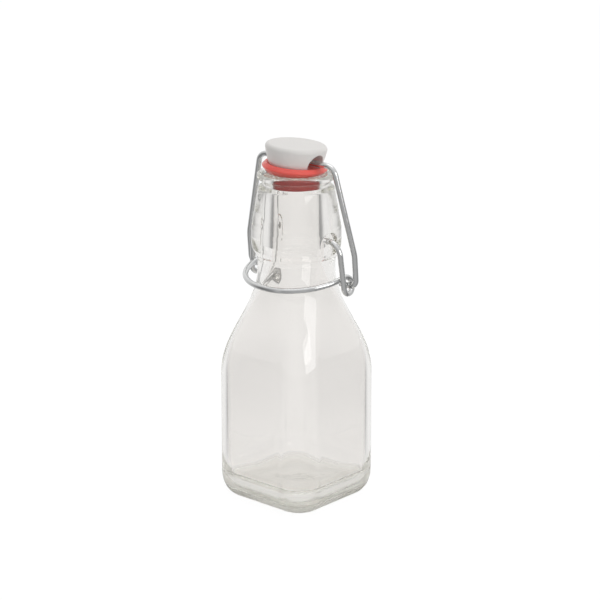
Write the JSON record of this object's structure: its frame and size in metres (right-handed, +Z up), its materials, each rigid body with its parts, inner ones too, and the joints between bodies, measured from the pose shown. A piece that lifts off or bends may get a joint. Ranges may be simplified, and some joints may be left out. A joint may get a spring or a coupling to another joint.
{
  "type": "swing-top bottle",
  "caption": "Small square clear-glass bottle with a swing-top closure: glossy white stopper, red rubber gasket, wire bail and front lever.",
  "frame": {"origin": "middle of the base, on the plane that the bottle stands on", "axes": "+Z up along the bottle, X along the lever's pivots, the lever's hoop towards -Y"},
  "size_m": [0.0586, 0.0506, 0.147],
  "materials": {
    "clear_glass": "clear, smooth, slightly wavy",
    "white_plastic": "glossy white",
    "red_rubber": "satin red",
    "plated_wire": "bright zinc-plated drawn wire"
  },
  "bodies": {
    "bottle": {"glass_bottle": "clear_glass"},
    "lever": {"lever_wire": "plated_wire"},
    "bail": {"bail_wire": "plated_wire"},
    "stopper": {"stopper_head": "white_plastic", "rubber_gasket": "red_rubber"}
  },
  "joints": [
    {"name": "lever_swing", "type": "hinge", "parent": "bottle", "child": "lever", "pos_m": [0, 0, 0.1095], "axis": [-1, 0, 0], "range_deg": [0, 100]},
    {"name": "bail_swing", "type": "hinge", "parent": "lever", "child": "bail", "pos_m": [0, 0.0039, 0.092], "axis": [-1, 0, 0], "range_deg": [-66, 0]},
    {"name": "stopper_tilt", "type": "hinge", "parent": "bail", "child": "stopper", "pos_m": [0, 0, 0.1398], "axis": [-1, 0, 0], "range_deg": [-32, 0], "deforming": ["rubber_gasket"]}
  ],
  "couplings": [
    {"joint": "bail_swing", "follows": "lever_swing", "ratio": -0.66},
    {"joint": "stopper_tilt", "follows": "lever_swing", "ratio": -0.32}
  ]
}
